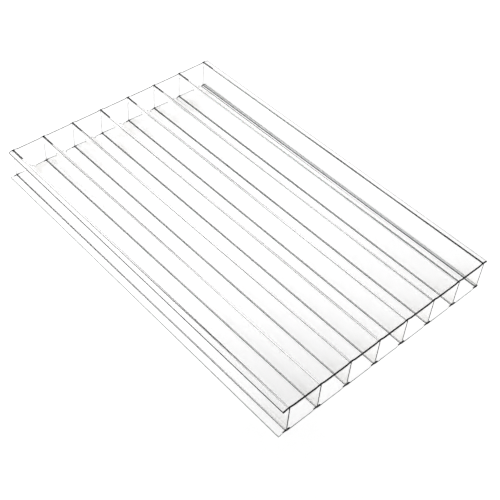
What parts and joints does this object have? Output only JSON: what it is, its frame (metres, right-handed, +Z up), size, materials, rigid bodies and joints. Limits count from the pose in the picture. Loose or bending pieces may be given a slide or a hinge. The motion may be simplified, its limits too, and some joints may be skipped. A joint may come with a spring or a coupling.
{
  "type": "multiwall polycarbonate sheet",
  "caption": "Offcut of clear multiwall polycarbonate sheet: thin skins joined by upright webs, with open cells running its whole length and sawn edges.",
  "frame": {"origin": "centre of the footprint, on the surface the sheet lies on", "axes": "+X across the webs, +Y along the webs and cells, +Z up through the thickness"},
  "size_m": [0.0778, 0.1186, 0.0103],
  "materials": {
    "clear_polycarbonate": "clear, glossy as extruded, with fine saw marks on the cut edges"
  },
  "bodies": {
    "root": {"sheet": "clear_polycarbonate"}
  },
  "joints": []
}
